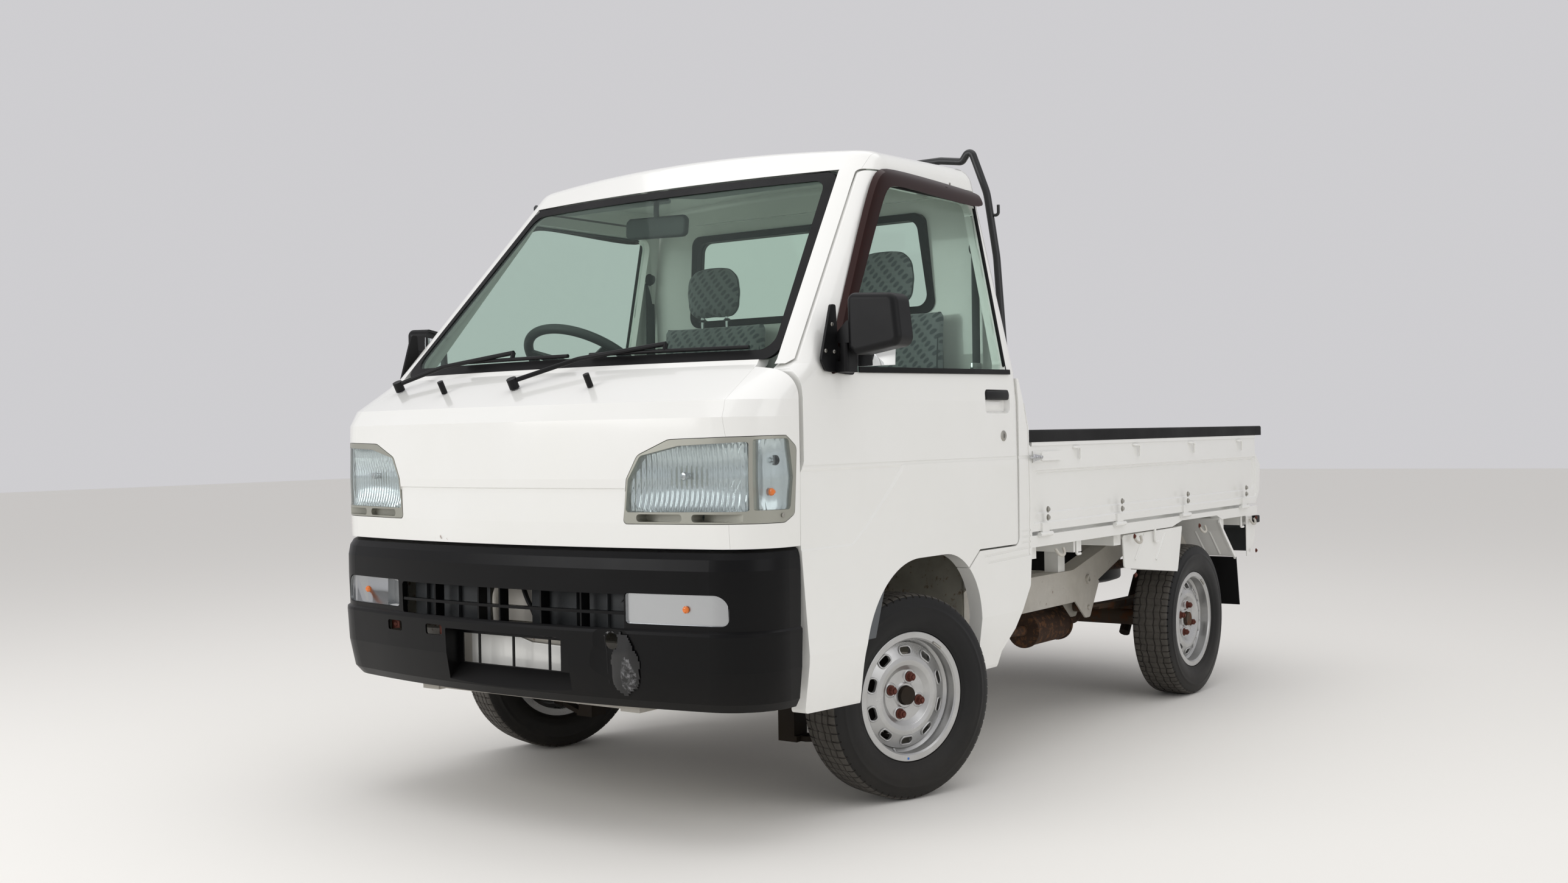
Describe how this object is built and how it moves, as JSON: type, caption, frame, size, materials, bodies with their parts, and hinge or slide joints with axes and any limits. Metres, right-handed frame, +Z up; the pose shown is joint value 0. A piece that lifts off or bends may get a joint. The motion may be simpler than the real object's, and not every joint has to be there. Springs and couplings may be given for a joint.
{
  "type": "kei truck",
  "caption": "Small white full-cab truck with a drop-side bed, black bumper, steel wheels and a pipe guard behind the cab.",
  "frame": {"origin": "on the ground under the middle of the truck's overall box", "axes": "+X to the vehicle's left, -Y towards its front, +Z up"},
  "size_m": [1.8159, 3.395, 1.7964],
  "materials": {
    "white_paint": "gloss white paint over pressed steel, with road dirt low down",
    "cabin_paint": "cream white paint inside the cab",
    "chassis_paint": "pale painted steel, dirty and spotted with rust",
    "black_plastic": "grained black moulded plastic",
    "trim_rubber": "black moulded rubber",
    "tyre_rubber": "worn black tyre rubber",
    "wheel_paint": "silver grey painted steel, dusty",
    "cast_steel": "rusty cast and pressed steel",
    "rusty_steel": "brown rusty exhaust steel",
    "clear_glass": "green tinted safety glass",
    "lamp_glass": "clear lamp lens",
    "red_lens": "red lamp lens",
    "seat_fabric": "grey woven seat cloth",
    "grey_plastic": "grey moulded interior plastic",
    "frame_paint": "black painted steel tube"
  },
  "bodies": {
    "root": {"chassis_frame": "chassis_paint", "cab_floor": "cabin_paint", "front_panel": "white_paint", "corner_panels": "white_paint", "side_frame_left": "white_paint", "side_frame_right": "white_paint", "roof": "white_paint", "rear_wall": "white_paint", "windshield": "clear_glass", "window_seals": "trim_rubber", "rear_window": "clear_glass", "dashboard": "grey_plastic", "steering_column": "black_plastic", "seat_bases": "cabin_paint", "seat_cushions": "seat_fabric", "seat_backs": "seat_fabric", "front_bumper": "black_plastic", "headlights": "lamp_glass", "bumper_lamps": "lamp_glass", "wipers": "black_plastic", "front_suspension": "cast_steel", "rear_axle": "cast_steel", "leaf_springs": "cast_steel", "engine": "cast_steel", "propshaft": "cast_steel", "exhaust": "rusty_steel", "fuel_tank": "frame_paint", "spare_wheel": "tyre_rubber", "bed_floor": "white_paint", "headboard": "white_paint", "guard_frame": "frame_paint", "splash_panels": "white_paint", "mud_flaps": "trim_rubber", "tail_lamps": "red_lens"},
    "door_left": {"door_left": "white_paint", "door_glass_left": "clear_glass", "mirror_left": "black_plastic"},
    "gate_left": {"side_gate_left": "white_paint", "gate_seal_left": "trim_rubber"},
    "knuckle_left": {"knuckle_left": "cast_steel"},
    "wheel_front_left": {"tyre_front_left": "tyre_rubber", "rim_front_left": "wheel_paint"},
    "wheel_rear_left": {"tyre_rear_left": "tyre_rubber", "rim_rear_left": "wheel_paint"},
    "door_right": {"door_right": "white_paint", "door_glass_right": "clear_glass", "mirror_right": "black_plastic"},
    "gate_right": {"side_gate_right": "white_paint", "gate_seal_right": "trim_rubber"},
    "knuckle_right": {"knuckle_right": "cast_steel"},
    "wheel_front_right": {"tyre_front_right": "tyre_rubber", "rim_front_right": "wheel_paint"},
    "wheel_rear_right": {"tyre_rear_right": "tyre_rubber", "rim_rear_right": "wheel_paint"},
    "tailgate": {"tailgate": "white_paint", "tailgate_seal": "trim_rubber"},
    "steering_wheel": {"steering_wheel": "black_plastic"}
  },
  "joints": [
    {"name": "door_left_swing", "type": "hinge", "parent": "root", "child": "door_left", "pos_m": [0.742, -1.4375, 0.8], "axis": [0, 0, -1], "range_deg": [0, 65]},
    {"name": "door_right_swing", "type": "hinge", "parent": "root", "child": "door_right", "pos_m": [-0.742, -1.4375, 0.8], "axis": [0, 0, 1], "range_deg": [0, 65]},
    {"name": "gate_left_drop", "type": "hinge", "parent": "root", "child": "gate_left", "pos_m": [0.737, 0.7025, 0.65], "axis": [0, 1, 0], "range_deg": [0, 170]},
    {"name": "gate_right_drop", "type": "hinge", "parent": "root", "child": "gate_right", "pos_m": [-0.737, 0.7025, 0.65], "axis": [0, -1, 0], "range_deg": [0, 170]},
    {"name": "tailgate_drop", "type": "hinge", "parent": "root", "child": "tailgate", "pos_m": [0, 1.6905, 0.65], "axis": [-1, 0, 0], "range_deg": [0, 170]},
    {"name": "steer_left", "type": "hinge", "parent": "root", "child": "knuckle_left", "pos_m": [0.6, -0.8575, 0.268], "axis": [0, 0, 1], "range_deg": [-16.7, 53.3]},
    {"name": "steer_right", "type": "hinge", "parent": "root", "child": "knuckle_right", "pos_m": [-0.6, -0.8575, 0.268], "axis": [0, 0, 1], "range_deg": [-16.7, 53.3]},
    {"name": "steering_wheel_turn", "type": "hinge", "parent": "root", "child": "steering_wheel", "pos_m": [-0.325, -1.0075, 1.165], "axis": [0, 0.5736, 0.8192], "range_deg": [-270, 855]},
    {"name": "wheel_front_left_spin", "type": "hinge", "parent": "knuckle_left", "child": "wheel_front_left", "pos_m": [0.64272, -0.87163, 0.268], "axis": [0.9494, -0.314, 0], "continuous": true},
    {"name": "wheel_rear_left_spin", "type": "hinge", "parent": "root", "child": "wheel_rear_left", "pos_m": [0.65, 1.0425, 0.268], "axis": [1, 0, 0], "continuous": true},
    {"name": "wheel_front_right_spin", "type": "hinge", "parent": "knuckle_right", "child": "wheel_front_right", "pos_m": [-0.64272, -0.84337, 0.268], "axis": [0.9494, -0.314, 0], "continuous": true},
    {"name": "wheel_rear_right_spin", "type": "hinge", "parent": "root", "child": "wheel_rear_right", "pos_m": [-0.65, 1.0425, 0.268], "axis": [1, 0, 0], "continuous": true}
  ],
  "couplings": [
    {"joint": "steer_right", "follows": "steer_left", "ratio": 1},
    {"joint": "steering_wheel_turn", "follows": "steer_left", "ratio": 16}
  ]
}
